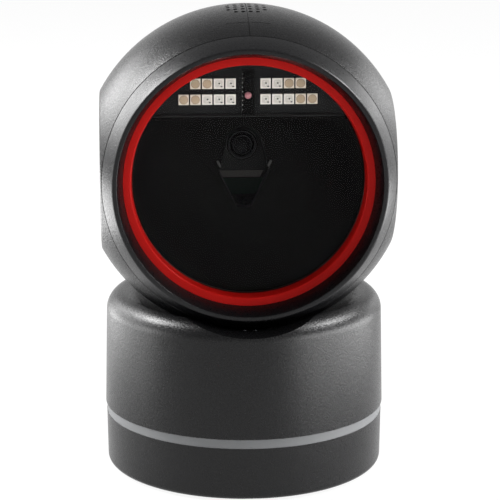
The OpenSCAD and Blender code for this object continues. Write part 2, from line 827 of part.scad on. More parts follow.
module front_bezel() {
    crest = 0.3;
    color([0.14, 0.14, 0.15]) head_frame() difference() {
        union() {
            rotate_extrude($fn = 180) polygon([
                [accent_outer_r, accent_d], [bezel_front_r - bezel_rim_w, bezel_front_d],
                [bezel_front_r, bezel_front_d], [bezel_front_r + crest, bezel_front_d - crest],
                [seam_r, seam_d], [spigot_r, seam_d], [spigot_r, spigot_back_d],
                [flange_r, spigot_back_d], [flange_r, flange_d], [accent_outer_r, flange_d]
            ]);
            at_bezel_screws() translate([0, 0, gasket_back_d])
                cylinder(r = bezel_boss_r, h = bezel_screw_bite + 1);
        }
        at_bezel_screws() translate([0, 0, gasket_back_d - cut])
            cylinder(r = bezel_screw_r, h = bezel_screw_bite + cut);
    }
}

module accent_ring() {
    lip = 0.3;
    wall_in_r = accent_inner_r - lip;
    color([0.75, 0.08, 0.06]) head_frame() rotate_extrude($fn = 180) polygon([
        [wall_in_r, window_d], [flange_r, window_d], [flange_r, flange_d],
        [accent_outer_r, flange_d], [accent_outer_r, accent_d],
        [accent_inner_r + lip, accent_d - lip], [accent_inner_r, accent_d - 2 * lip]
    ]);
}

module window() {
    color([0.08, 0.07, 0.08, 0.6]) head_frame() translate([0, 0, window_back_d])
        cylinder(r = window_r, h = window_t, $fn = 180);
}

module window_gasket() {
    color([0.04, 0.04, 0.04]) head_frame() ring(window_r, gasket_inner_r, gasket_back_d, window_back_d);
}

module head_chassis() {
    color([0.18, 0.18, 0.19]) head_frame() difference() {
        union() {
            difference() {
                ring(frame_ring_outer_r, frame_ring_inner_r, frame_ring_back_d, gasket_back_d);
                block([-ball_r, -ball_r, 0], [ball_r, frame_ring_low_u, ball_r]);
            }
            for (side = [-1, 1]) scale([side, 1, 1]) {
                block(
                    [cheek_in_x, -cheek_half_h, rear_wall_d - rear_wall_t],
                    [cheek_out_x, cheek_half_h, gasket_back_d]
                );
                axle(pin_r + 2, cheek_in_x - pin_seat_spare, cheek_out_x);
            }
            block(
                [-cheek_out_x, -rear_wall_half_h, rear_wall_d - rear_wall_t],
                [cheek_out_x, rear_wall_half_h, rear_wall_d]
            );
            for (spot = decode_post_spots) translate([spot[0], spot[1], decode_front_d])
                cylinder(r = decode_post_r, h = rear_wall_d - decode_front_d);
        }
        for (side = [-1, 1]) scale([side, 1, 1]) axle(pin_r, 0, yoke_r);
        at_bezel_screws() cylinder(r = bezel_screw_r + shank_gap, h = ball_r);
        translate([0, 0, dish_centre_d]) sphere(r = dish_r + dish_t + seat_gap, $fn = 180);
        for (spot = decode_post_spots) translate([spot[0], spot[1], decode_front_d - cut])
            cylinder(r = small_screw_r, h = decode_screw_bite + hole_spare + cut);
        at_imager_screws() translate([0, 0, rear_wall_d - rear_wall_t - cut])
            cylinder(r = small_screw_r + shank_gap, h = rear_wall_t + 2 * cut);
    }
}

module bezel_screws() {
    color([0.7, 0.7, 0.72]) head_frame() at_bezel_screws() translate([0, 0, frame_ring_back_d])
        pan_screw(bezel_screw_r, frame_ring_t + bezel_screw_bite - head_gap, bezel_head_r, small_head_h);
}

// ---------- Optics ----------

// Outline of the opening through which the camera looks
module camera_opening() {
    brow_r = 5.5;
    brow_u = imager_u + 2.5;
    translate([0, brow_u]) circle(r = brow_r);
    polygon([
        [-brow_r, brow_u], [-waist_half_w, waist_u], [-chin_half_w, chin_u],
        [chin_half_w, chin_u], [waist_half_w, waist_u], [brow_r, brow_u]
    ]);
}

// Outline of the raised hood around that opening
module hood_outline() {
    border = 1.2;
    shoulder_u = imager_u + 0.9;
    polygon([
        [-hood_half_w, shelf_u + merge], [-hood_half_w, shoulder_u],
        [-waist_half_w - border, waist_u - 0.4], [-chin_half_w - border, chin_u - border],
        [chin_half_w + border, chin_u - border], [waist_half_w + border, waist_u - 0.4],
        [hood_half_w, shoulder_u], [hood_half_w, shelf_u + merge]
    ]);
}

module light_baffle() {
    color([0.07, 0.07, 0.07]) head_frame() difference() {
        union() {
            difference() {
                translate([0, 0, dish_centre_d]) sphere(r = dish_r + dish_t, $fn = 180);
                translate([0, 0, dish_centre_d]) sphere(r = dish_r, $fn = 180);
                block([-ball_r, -ball_r, gasket_back_d], [ball_r, ball_r, dish_centre_d + ball_r]);
                block([-ball_r, shelf_u, -ball_r], [ball_r, ball_r, ball_r]);
            }
            intersection() {
                block([-ball_r, shelf_u, -ball_r], [ball_r, shelf_u + shelf_t, gasket_back_d - 0.3]);
                translate([0, 0, dish_centre_d]) sphere(r = dish_r + dish_t, $fn = 180);
            }
            intersection() {
                translate([0, 0, dish_back_d]) linear_extrude(hood_front_d - dish_back_d) hood_outline();
                translate([0, 0, dish_centre_d]) sphere(r = dish_r + dish_t / 2, $fn = 180);
            }
        }
        translate([0, 0, dish_back_d - dish_t - cut])
            linear_extrude(hood_front_d - dish_back_d + dish_t + 2 * cut) camera_opening();
    }
}

module led_board() {
    color([0.06, 0.06, 0.07]) head_frame() intersection() {
        translate([0, 0, led_board_back_d]) cylinder(r = accent_inner_r + 0.3, h = board_t);
        block([-ball_r, led_board_low_u, 0], [ball_r, ball_r, ball_r]);
    }
}

// One light-emitting package; column counts outwards from the middle
module led(side, column, u) {
    x = side * (led_first_x + column * led_pitch);
    block(
        [x - led_w / 2, u - led_w / 2, led_board_front_d],
        [x + led_w / 2, u + led_w / 2, led_board_front_d + led_t]
    );
}

module white_leds() {
    color([0.9, 0.9, 0.88]) head_frame() for (side = [-1, 1]) {
        for (column = [0, 1]) led(side, column, led_high_u);
        for (column = [0, 1, 2]) led(side, column, led_low_u);
    }
}

module amber_leds() {
    color([0.8, 0.65, 0.45]) head_frame() for (side = [-1, 1]) {
        for (column = [2, 3]) led(side, column, led_high_u);
        for (column = [3, 4]) led(side, column, led_low_u);
    }
}

module sensor_holder() {
    color([0.09, 0.09, 0.09]) head_frame() difference() {
        block(
            [-strip_half_w, led_board_low_u, led_board_front_d],
            [strip_half_w, aperture_u + 1.5, led_board_front_d + strip_t]
        );
        block(
            [-aperture_w / 2, aperture_u - aperture_h / 2, led_board_front_d + strip_t / 2],
            [aperture_w / 2, aperture_u + aperture_h / 2, gasket_back_d + cut]
        );
        translate([0, proximity_u, led_board_front_d - cut]) cylinder(r = proximity_r, h = 3, $fn = 24);
        translate([0, aimer_u, led_board_front_d - cut]) cylinder(r = aimer_r, h = 3, $fn = 24);
    }
}

module proximity_lens() {
    color([0.2, 0.1, 0.12]) head_frame() translate([0, proximity_u, led_board_front_d])
        cylinder(r = proximity_r, h = strip_t - 0.2, $fn = 24);
}

module aimer_lens() {
    dome_r = 1.6;
    color([0.9, 0.75, 0.75]) head_frame() intersection() {
        translate([0, aimer_u, led_board_front_d]) cylinder(r = aimer_r, h = strip_t + 0.2, $fn = 24);
        translate([0, aimer_u, led_board_front_d + strip_t + 0.2 - dome_r]) sphere(r = dome_r, $fn = 48);
    }
}

module at_imager_screws() {
    for (side = [-1, 1]) translate([side * imager_screw_x, imager_screw_u, 0]) children();
}

module imager_housing() {
    lens_bore = 3;
    color([0.12, 0.12, 0.13]) head_frame() difference() {
        block([-camera_half_w, camera_low_u, rear_wall_d], [camera_half_w, camera_high_u, camera_body_d]);
        translate([0, imager_u, camera_body_d - lens_bore]) cylinder(r = imager_lens_r, h = lens_bore + cut);
        at_imager_screws() translate([0, 0, rear_wall_d - cut])
            cylinder(r = small_screw_r, h = imager_screw_bite + hole_spare + cut);
    }
}

module imager_barrel() {
    color([0.05, 0.05, 0.05]) head_frame() translate([0, imager_u, 0])
        ring(barrel_r, imager_lens_r, camera_body_d, camera_front_d);
}

module imager_lens() {
    bulge_r = 9;
    front = camera_front_d - 0.8;
    color([0.25, 0.22, 0.3, 0.7]) head_frame() translate([0, imager_u, 0]) intersection() {
        translate([0, 0, camera_body_d]) cylinder(r = imager_lens_r, h = front - camera_body_d);
        translate([0, 0, front - bulge_r]) sphere(r = bulge_r, $fn = 96);
    }
}

module imager_bracket() {
    color([0.65, 0.64, 0.62]) head_frame() translate([0, 0, rear_wall_d])
        linear_extrude(camera_body_d - rear_wall_d - 0.5) polygon([
            [-bar_low_half_w, bar_low_u], [bar_low_half_w, bar_low_u],
            [bar_top_half_w, bar_low_u + bar_h], [-bar_top_half_w, bar_low_u + bar_h]
        ]);
}

module hood_hooks() {
    hook_w = 0.6;
    hook_h = 2;
    hook_lean = 28;
    color([0.2, 0.2, 0.2]) head_frame() for (side = [-1, 1])
        translate([side * waist_half_w, waist_u + 2.6, hood_front_d]) rotate([0, 0, -side * hook_lean])
            block([-hook_w / 2, -hook_h / 2, 0], [hook_w / 2, hook_h / 2, hook_w]);
}

module imager_screws() {
    color([0.7, 0.7, 0.72]) head_frame() at_imager_screws() translate([0, 0, rear_wall_d - rear_wall_t])
        pan_screw(small_screw_r, rear_wall_t + imager_screw_bite, small_head_r, small_head_h);
}

module decode_board() {
    color([0.05, 0.3, 0.15]) head_frame() difference() {
        block(
            [-decode_half_w, decode_low_u, decode_front_d - board_t],
            [decode_half_w, decode_high_u, decode_front_d]
        );
        for (spot = decode_post_spots) translate([spot[0], spot[1], decode_front_d - board_t - cut])
            cylinder(r = small_screw_r + shank_gap, h = board_t + 2 * cut);
    }
}

module decode_components() {
    drawn_half_w = 24;
    color([0.1, 0.1, 0.11]) head_frame() translate([0, 0, decode_front_d - board_t])
        scale(decode_half_w / drawn_half_w) {
        block([-7, 4, -1.4], [7, 18, 0]);
        block([-7, -11, -1.2], [3, 1, 0]);
        block([8, -12, -3], [20, -8, 0]);
        block([9, 8, -1], [15, 16, 0]);
        block([-16, 9, -1], [-10, 13, 0]);
    }
}

module decode_screws() {
    color([0.7, 0.7, 0.72]) head_frame() for (spot = decode_post_spots)
        translate([spot[0], spot[1], decode_front_d - board_t])
            pan_screw(small_screw_r, board_t + decode_screw_bite, small_head_r, small_head_h);
}

module speaker() {
    magnet_h = 1.5;
    color([0.1, 0.1, 0.1]) head_frame() translate([0, speaker_low_u, grille_y]) rotate([-90, 0, 0]) {
        cylinder(r = speaker_r, h = speaker_h);
        translate([0, 0, -magnet_h]) cylinder(r = speaker_r * 0.6, h = magnet_h);
    }
}

module speaker_gasket() {
    color([0.05, 0.05, 0.05]) head_frame() intersection() {
        translate([0, 0, grille_y]) rotate([-90, 0, 0])
            ring(speaker_r, speaker_r - speaker_gasket_w, speaker_low_u + speaker_h, ball_r);
        sphere(r = inner_ball_r - 0.05, $fn = 180);
    }
}

base_housing();
trim_ring();
lower_housing();
base_plate();
foot_ring();
ballast_plate();
ballast_screws();
interface_board();
board_components();
board_screws();
cable_socket();
socket_contacts();
base_screws();
light_pipes();
neck_post();
neck_screws();
tilt_yoke();
yoke_screws();
pivot_bushes();
friction_washers();
head_shell_left();
head_shell_right();
shell_screws();
front_bezel();
accent_ring();
window();
window_gasket();
head_chassis();
bezel_screws();
pivot_pins();
light_baffle();
led_board();
white_leds();
amber_leds();
sensor_holder();
aimer_lens();
proximity_lens();
imager_housing();
imager_barrel();
imager_lens();
imager_bracket();
hood_hooks();
imager_screws();
decode_board();
decode_components();
decode_screws();
speaker();
speaker_gasket();
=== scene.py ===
"""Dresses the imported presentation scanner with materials, small details, lights and a camera."""
import json
import math

import bmesh
import bpy
from mathutils import Matrix, Vector


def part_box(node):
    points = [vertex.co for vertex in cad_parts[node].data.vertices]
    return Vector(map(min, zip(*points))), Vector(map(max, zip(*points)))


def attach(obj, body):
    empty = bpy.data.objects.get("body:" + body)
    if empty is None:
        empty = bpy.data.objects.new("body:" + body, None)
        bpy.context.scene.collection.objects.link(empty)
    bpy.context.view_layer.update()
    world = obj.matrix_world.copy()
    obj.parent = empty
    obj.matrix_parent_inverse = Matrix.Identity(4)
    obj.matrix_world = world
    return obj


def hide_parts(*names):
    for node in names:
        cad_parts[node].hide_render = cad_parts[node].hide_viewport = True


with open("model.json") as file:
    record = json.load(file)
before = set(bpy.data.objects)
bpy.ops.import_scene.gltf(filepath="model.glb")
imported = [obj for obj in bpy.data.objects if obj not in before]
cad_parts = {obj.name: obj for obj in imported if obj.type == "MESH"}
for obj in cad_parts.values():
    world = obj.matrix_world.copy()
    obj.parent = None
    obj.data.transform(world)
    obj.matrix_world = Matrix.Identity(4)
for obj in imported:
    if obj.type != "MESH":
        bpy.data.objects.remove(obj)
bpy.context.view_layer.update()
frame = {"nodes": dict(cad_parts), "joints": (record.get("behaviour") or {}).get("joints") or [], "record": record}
nodes = frame["nodes"]

MM = 0.001

# A point on the tilt axis, which is also the centre of the ball
axis_point = Vector(frame["joints"][0]["pos_m"])


# ---------- Material helpers ----------

# The colour sockets of a Mix node, whose names its other data types share
MIX_A = 6
MIX_B = 7
MIX_RESULT = 2

# Widths of the slow changes of tone in plastic and in clear materials
BLOTCH = 9 * MM
HAZE = 14 * MM

# The surface of metal: the width of its grain and the height of its bump
METAL_GRAIN = 0.4 * MM
METAL_DEPTH = 0.01 * MM

# How far the grain takes the roughness below and above its own value
SMOOTHER = 0.06
ROUGHER = 0.08
CLEAR_ROUGHER = 0.02


def new_material(name):
    """A node material with a Principled shader; returns the material, its tree and the shader."""
    material = bpy.data.materials.new(name)
    material.use_nodes = True
    tree = material.node_tree
    return material, tree, tree.nodes["Principled BSDF"]


def noise(tree, grain, detail=2.0, roughness=0.5):
    """Noise whose grains are about `grain` metres wide, fixed to the object."""
    place = tree.nodes.new("ShaderNodeTexCoord")
    node = tree.nodes.new("ShaderNodeTexNoise")
    node.inputs["Scale"].default_value = 1.0 / grain
    node.inputs["Detail"].default_value = detail
    node.inputs["Roughness"].default_value = roughness
    tree.links.new(place.outputs["Object"], node.inputs["Vector"])
    return node.outputs["Fac"]


def remap(tree, value, low, high, start=0.3, end=0.7):
    """Spreads the stretch of a value from start to end, here the middle of a noise, over low to high."""
    node = tree.nodes.new("ShaderNodeMapRange")
    tree.links.new(value, node.inputs["Value"])
    for key, number in (("From Min", start), ("From Max", end), ("To Min", low), ("To Max", high)):
        node.inputs[key].default_value = number
    return node.outputs["Result"]


def tint(tree, value, dark, light):
    """A colour between dark and light, as the value says."""
    node = tree.nodes.new("ShaderNodeMix")
    node.data_type = "RGBA"
    tree.links.new(value, node.inputs["Factor"])
    node.inputs[MIX_A].default_value = (*dark, 1.0)
    node.inputs[MIX_B].default_value = (*light, 1.0)
    return node.outputs[MIX_RESULT]


def bump(tree, shader, height, distance):
    """Roughens the surface as the height says, as if by up to `distance` metres."""
    node = tree.nodes.new("ShaderNodeBump")
    node.inputs["Distance"].default_value = distance
    tree.links.new(height, node.inputs["Height"])
    tree.links.new(node.outputs["Normal"], shader.inputs["Normal"])


def grained_plastic(name, dark, light, roughness, grain, depth, specular=0.5):
    """A moulded plastic with slow blotches in its tone, and a fine grain in its gloss and its bump."""
    material, tree, shader = new_material(name)
    blotch = noise(tree, BLOTCH, detail=4.0)
    tree.links.new(tint(tree, blotch, dark, light), shader.inputs["Base Color"])
    fine = noise(tree, grain, detail=3.0, roughness=0.6)
    gloss = remap(tree, fine, roughness - SMOOTHER, roughness + ROUGHER)
    tree.links.new(gloss, shader.inputs["Roughness"])
    shader.inputs["Specular IOR Level"].default_value = specular
    bump(tree, shader, fine, depth)
    return material


def metal(name, dark, light, roughness):
    """A metal with one fine grain in its tone, its gloss and its bump."""
    material, tree, shader = new_material(name)
    shader.inputs["Metallic"].default_value = 1.0
    cloud = noise(tree, METAL_GRAIN, detail=3.0)
    tree.links.new(tint(tree, cloud, dark, light), shader.inputs["Base Color"])
    gloss = remap(tree, cloud, roughness - SMOOTHER, roughness + ROUGHER)
    tree.links.new(gloss, shader.inputs["Roughness"])
    bump(tree, shader, cloud, METAL_DEPTH)
    return material


def clear_material(name, dark, light, roughness, alpha, specular=0.5):
    """A see-through plastic or glass: a thin tinted film of gloss over what lies behind it."""
    material, tree, shader = new_material(name)
    haze = noise(tree, HAZE, detail=3.0)
    tree.links.new(tint(tree, haze, dark, light), shader.inputs["Base Color"])
    gloss = remap(tree, haze, roughness, roughness + CLEAR_ROUGHER)
    tree.links.new(gloss, shader.inputs["Roughness"])
    shader.inputs["Specular IOR Level"].default_value = specular
    shader.inputs["Alpha"].default_value = alpha
    return material


# ---------- Materials ----------

# The width of the grain that the housings, the rings and the boards share
GRAIN = 0.46 * MM

# Darkest and lightest tone, roughness, width of the grain, height of its bump, and the specular level
# where it isn't the usual one
PLASTICS = {
    "housing_black": ((0.0026, 0.0026, 0.0029), (0.004, 0.004, 0.0044), 0.28, GRAIN, 0.085 * MM, 0.28),
    "tray_black": ((0.0026, 0.0026, 0.0029), (0.0038, 0.0038, 0.0042), 0.3, GRAIN, 0.085 * MM, 0.28),
    "bezel_black": ((0.0026, 0.0026, 0.003), (0.0038, 0.0038, 0.0044), 0.3, GRAIN, 0.06 * MM, 0.28),
    "trim_grey": ((0.075, 0.078, 0.08), (0.09, 0.092, 0.095), 0.4, GRAIN, 0.01 * MM),
    "rubber_black": ((0.012, 0.012, 0.012), (0.02, 0.02, 0.02), 0.75, 0.8 * MM, 0.03 * MM),
    "liner_black": ((0.0012, 0.0011, 0.0011), (0.0018, 0.0017, 0.0017), 0.5, 1.5 * MM, 0.004 * MM, 0.04),
    "frame_black": ((0.006, 0.006, 0.0065), (0.009, 0.009, 0.0095), 0.5, 0.6 * MM, 0.02 * MM, 0.2),
    "hook_grey": ((0.05, 0.05, 0.048), (0.07, 0.07, 0.068), 0.4, 0.6 * MM, 0.01 * MM),
    "chip_black": ((0.012, 0.012, 0.012), (0.02, 0.02, 0.02), 0.55, 0.3 * MM, 0.01 * MM),
    "board_black": ((0.003, 0.003, 0.0035), (0.005, 0.005, 0.0055), 0.4, GRAIN, 0.01 * MM, 0.15),
    "board_green": ((0.004, 0.022, 0.012), (0.006, 0.03, 0.016), 0.4, GRAIN, 0.01 * MM, 0.2),
    "accent_red": ((0.24, 0.003, 0.002), (0.28, 0.005, 0.004), 0.35, GRAIN, 0.006 * MM, 0.05),
    "led_white": ((0.76, 0.73, 0.67), (0.84, 0.81, 0.75), 0.4, 1.2 * MM, 0.01 * MM),
    "led_amber": ((0.7, 0.62, 0.5), (0.84, 0.77, 0.66), 0.4, 1.2 * MM, 0.01 * MM),
    "phosphor": ((0.4, 0.3, 0.19), (0.5, 0.39, 0.26), 0.45, 0.5 * MM, 0.01 * MM),
    "phosphor_rim": ((0.13, 0.085, 0.05), (0.19, 0.13, 0.08), 0.5, 0.5 * MM, 0.01 * MM),
    "led_well": ((0.58, 0.56, 0.5), (0.68, 0.66, 0.6), 0.3, 0.6 * MM, 0.01 * MM),
    "label_silver": ((0.5, 0.51, 0.52), (0.56, 0.57, 0.58), 0.45, 2 * MM, 0.005 * MM),
    "bar_grey": ((0.075, 0.073, 0.068), (0.09, 0.088, 0.083), 0.6, 0.6 * MM, 0.01 * MM, 0.2),
}

# Darkest and lightest tone, and roughness
METALS = {
    "led_mark": ((0.8, 0.8, 0.78), (0.9, 0.9, 0.88), 0.3),
    "lens_ring": ((0.03, 0.03, 0.033), (0.05, 0.05, 0.055), 0.35),
    "zinc_steel": ((0.5, 0.51, 0.52), (0.6, 0.61, 0.62), 0.38),
    "screw_steel": ((0.55, 0.55, 0.56), (0.68, 0.68, 0.69), 0.3),
    "contact_gold": ((0.75, 0.55, 0.22), (0.88, 0.68, 0.32), 0.25),
    "bush_bronze": ((0.45, 0.3, 0.14), (0.58, 0.4, 0.2), 0.45),
}

# Darkest and lightest tone, roughness, opacity, and the specular level where it isn't the usual one
CLEARS = {
    "window_dark": ((0.003, 0.003, 0.003), (0.004, 0.004, 0.004), 0.02, 0.06),
    "clear_pipe": ((0.5, 0.52, 0.55), (0.6, 0.62, 0.65), 0.1, 0.6),
    "lens_dark": ((0.002, 0.002, 0.003), (0.003, 0.003, 0.005), 0.04, 0.95, 0.08),
    "lens_pink": ((0.42, 0.16, 0.18), (0.55, 0.25, 0.28), 0.1, 0.95),
}


def make_materials():
    """Every material by its name."""
    materials = {}
    for make, rows in ((grained_plastic, PLASTICS), (metal, METALS), (clear_material, CLEARS)):
        for name, values in rows.items():
            materials[name] = make(name, *values)
    return materials


# ---------- CAD nodes ----------

WELD_GAP = 0.002 * MM
SHARP_ANGLE = math.radians(25)

# Nodes with a look of their own within their slot
OWN_LOOKS = {"hood_hooks": "hook_grey"}


def dress_frame(materials):
    """Gives each CAD node its material, smooth shading across round faces and crisp edges."""
    slot_of = {part["node"]: part["material_slot"] for part in frame["record"]["subparts"]}
    for name, obj in nodes.items():
        look = OWN_LOOKS.get(name, slot_of[name])
        obj.data.materials.clear()
        obj.data.materials.append(materials[look])
        # The faces arrive apart, so they are joined before the mesh is split at its sharp edges
        weld = obj.modifiers.new("weld", "WELD")
        weld.merge_threshold = WELD_GAP
        obj.data.shade_smooth()
        split = obj.modifiers.new("sharp_edges", "EDGE_SPLIT")
        split.split_angle = SHARP_ANGLE
        obj.modifiers.new("even_normals", "WEIGHTED_NORMAL")


# ---------- Places and shapes of the small details ----------

# How deep a detail reaches into the face that it lies on
SINK = 0.02 * MM

# Steps around a disc, a very small disc, a band and a large turned ring
DISC_STEPS = 32
DOT_STEPS = 12
BAND_STEPS = 48
RING_STEPS = 360

# Edges of the details that are sharper than this stay crisp
DETAIL_SHARP_ANGLE = math.radians(35)

# Decimals, in metres, that tell points apart and that put solids in rows
POINT_DECIMALS = 6
ROW_DECIMALS = 4


def islands(name):
    """The lowest and highest corners of each separate solid in a CAD node, row by row from below."""
    mesh = nodes[name].data
    place = [tuple(round(c, POINT_DECIMALS) for c in vert.co) for vert in mesh.vertices]
    group = {point: point for point in place}

    def root(point):
        while group[point] != point:
            point = group[point]
        return point

    for face in mesh.polygons:
        first = root(place[face.vertices[0]])
        for index in face.vertices[1:]:
            group[root(place[index])] = first
    solids = {}
    for point in group:
        solids.setdefault(root(point), []).append(point)
    boxes = []
    for points in solids.values():
        low = Vector([min(point[axis] for point in points) for axis in range(3)])
        high = Vector([max(point[axis] for point in points) for axis in range(3)])
        boxes.append((low, high))
    return sorted(boxes, key=lambda box: (round(box[0].z, ROW_DECIMALS), round(box[0].x, ROW_DECIMALS)))


def front_centre(low, high):
    """The middle of the face that looks forward, which is towards -Y."""
    return Vector(((low.x + high.x) / 2, low.y, (low.z + high.z) / 2))


def half_width(low, high):
    """Half the width of a box, which is the radius of a round node that looks forward."""
    return (high.x - low.x) / 2


def bridge(bm, near, far):
    """A band of faces between two closed loops that have as many points."""
    count = len(near)
    for step in range(count):
        after = (step + 1) % count
        bm.faces.new((near[step], near[after], far[after], far[step]))


def add_round(bm, centre, profile, steps):
    """A round form about the forward axis through centre; the profile is (radius, forward) points."""
    turns = [2 * math.pi * step / steps for step in range(steps)]
    rings = []
    for radius, forward in profile:
        rings.append([
            bm.verts.new(centre + Vector((radius * math.cos(turn), -forward, radius * math.sin(turn))))
            for turn in turns
        ])
    for near, far in zip(rings, rings[1:]):
        bridge(bm, near, far)
    return rings


def add_disc(bm, centre, radius, height, steps=DISC_STEPS):
    """A low disc with a rounded upper edge, closed at the back."""
    side = 0.4 * height
    shoulder = 0.8 * height
    ease = 0.25 * height
    rings = add_round(bm, centre, [
        (radius, -SINK), (radius, side), (radius - ease, shoulder), (radius - height, height),
    ], steps)
    bm.faces.new(rings[0])
    bm.faces.new(list(reversed(rings[-1])))


def add_band(bm, centre, radius, width, height):
    """A ring with a rounded section that lies on a front face."""
    arc_steps = 6
    arc = [math.pi * step / arc_steps for step in range(arc_steps + 1)]
    profile = [(radius + width / 2 * math.cos(turn), height * math.sin(turn)) for turn in arc]
    rings = add_round(bm, centre, profile, BAND_STEPS)
    bridge(bm, rings[-1], rings[0])


def add_plate(bm, centre, half_w, half_h, height, corner):
    """A low plate with cut corners and a smaller front face than back face."""
    outline = []
    for sx, sz in ((1, 1), (-1, 1), (-1, -1), (1, -1)):
        near = (sx * half_w, sz * (half_h - corner))
        far = (sx * (half_w - corner), sz * half_h)
        outline += [near, far] if sx * sz > 0 else [far, near]
    ease = 1 - height / half_h
    back = [bm.verts.new(centre + Vector((x, SINK, z))) for x, z in outline]
    front = [bm.verts.new(centre + Vector((x * ease, -height, z * ease))) for x, z in outline]
    bridge(bm, back, front)
    bm.faces.new(list(reversed(back)))
    bm.faces.new(front)


def new_piece(name, bm, material, body):
    """Makes a mesh into a piece of the scene that rides on a body and carries the given material."""
    bmesh.ops.recalc_face_normals(bm, faces=bm.faces)
    mesh = bpy.data.meshes.new(name)
    bm.to_mesh(mesh)
    bm.free()
    piece = bpy.data.objects.new(name, mesh)
    bpy.context.scene.collection.objects.link(piece)
    mesh.materials.append(material)
    mesh.shade_smooth()
    mesh.set_sharp_from_angle(angle=DETAIL_SHARP_ANGLE)
    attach(piece, body)
    return piece


# ---------- The bezel and the red ring ----------

def rounded(outline, steps=3):
    """The closed outline of (radius, forward, fillet) corners with each corner rounded off."""
    points = []
    for index, (radius, forward, fillet) in enumerate(outline):
        corner = Vector((radius, forward))
        before = Vector(outline[index - 1][:2]) - corner
        after = Vector(outline[(index + 1) % len(outline)][:2]) - corner
        if fillet == 0:
            points.append(corner)
            continue
        start = corner + before.normalized() * fillet
        end = corner + after.normalized() * fillet
        for step in range(steps + 1):
            share = step / steps
            points.append(start.lerp(corner, share).lerp(corner.lerp(end, share), share))
    return [(point.x, point.y) for point in points]


def turned_piece(name, outline, material, node):
    """A round piece about the forward axis through the tilt axis, in place of a CAD node."""
    bm = bmesh.new()
    rings = add_round(bm, axis_point, rounded(outline), RING_STEPS)
    bridge(bm, rings[-1], rings[0])
    piece = new_piece(name, bm, material, "head")
    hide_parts(node)


def make_front_rings(materials):
    """The red ring and the bezel, with the fillets that moulded rings have.

    Names that end in _r are radii, and those in _d are distances forward of the tilt axis.
    """
    # The red ring: how far its face reaches past the window, the face's width, its flange and its lip
    window_inset = 0.8 * MM
    face_w = 2.4 * MM
    flange_t = 1 * MM
    lip = 0.3 * MM
    # The bezel: its width outside the red ring, its flat rim, its crest, its depth to the seam, and the
    # step in to its spigot; its screw bosses, which are hidden and left out, reach behind the spigot
    slope_w = 3 * MM
    rim_w = 1.2 * MM
    crest = 0.3 * MM
    side_depth = 5.9 * MM
    spigot_step = 2.4 * MM
    boss_depth = 3 * MM
    # The fillets
    edge_fillet = 0.1 * MM
    seam_fillet = 0.12 * MM
    crest_fillet = 0.15 * MM
    rim_fillet = 0.2 * MM

    low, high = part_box("window")
    face_r = half_width(low, high) + window_inset
    inner_r = face_r - face_w
    low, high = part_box("accent_ring")
    flange_r = half_width(low, high)
    face_d = axis_point.y - low.y
    back_d = axis_point.y - high.y
    flange_d = back_d + flange_t
    turned_piece("red_ring", [
        (inner_r - lip, back_d, 0), (flange_r, back_d, 0), (flange_r, flange_d, 0),
        (face_r, flange_d, 0), (face_r, face_d, edge_fillet),
        (inner_r + lip, face_d - lip, crest_fillet), (inner_r, face_d - 2 * lip, edge_fillet),
    ], materials["accent_red"], "accent_ring")

    low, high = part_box("front_bezel")
    seam_r = half_width(low, high)
    front_d = axis_point.y - low.y
    seam_d = front_d - side_depth
    spigot_r = seam_r - spigot_step
    spigot_d = axis_point.y - high.y + boss_depth
    front_r = face_r + slope_w
    turned_piece("bezel", [
        (face_r, face_d, edge_fillet), (front_r - rim_w, front_d, rim_fillet),
        (front_r, front_d, crest_fillet), (front_r + crest, front_d - crest, crest_fillet),
        (seam_r, seam_d, seam_fillet), (spigot_r, seam_d, 0), (spigot_r, spigot_d, 0),
        (flange_r, spigot_d, 0), (flange_r, flange_d, 0), (face_r, flange_d, 0),
    ], materials["bezel_black"], "front_bezel")


# ---------- Details behind the window ----------

def make_amber_details(materials):
    """A phosphor disc in its rim on each amber package."""
    disc_r = 1.22 * MM
    disc_t = 0.08 * MM
    rim_r = 1.24 * MM
    rim_w = 0.14 * MM
    rim_t = 0.05 * MM
    discs = bmesh.new()
    rims = bmesh.new()
    for low, high in islands("amber_leds"):
        centre = front_centre(low, high)
        add_disc(discs, centre, disc_r, disc_t)
        add_band(rims, centre, rim_r, rim_w, rim_t)
    new_piece("phosphor_discs", discs, materials["phosphor"], "head")
    new_piece("phosphor_rims", rims, materials["phosphor_rim"], "head")


def make_white_details(materials):
    """A shallow well on each white package, with two dies and three bond marks in it."""
    well_half = 1.12 * MM
    well_t = 0.03 * MM
    well_corner = 0.4 * MM
    die_t = 0.05 * MM
    die_corner = 0.05 * MM
    mark_r = 0.16 * MM
    mark_t = 0.05 * MM
    # In millimetres from the package's centre: x, z, half width and half height of each die
    die_places = ((0.1, 0.1, 0.26, 0.22), (0.75, -0.85, 0.3, 0.18))
    # In the same way, x and z of each mark
    mark_places = ((0.5, -0.15), (-0.45, 0.5), (0.0, -0.5))
    wells = bmesh.new()
    dies = bmesh.new()
    marks = bmesh.new()
    for low, high in islands("white_leds"):
        centre = front_centre(low, high)
        add_plate(wells, centre, well_half, well_half, well_t, well_corner)
        for x, z, half_w, half_h in die_places:
            place = centre + Vector((x * MM, -well_t, z * MM))
            add_plate(dies, place, half_w * MM, half_h * MM, die_t, die_corner)
        for x, z in mark_places:
            place = centre + Vector((x * MM, -well_t, z * MM))
            add_disc(marks, place, mark_r, mark_t, DOT_STEPS)
    new_piece("led_wells", wells, materials["led_well"], "head")
    new_piece("led_dies", dies, materials["chip_black"], "head")
    new_piece("led_bond_marks", marks, materials["led_mark"], "head")


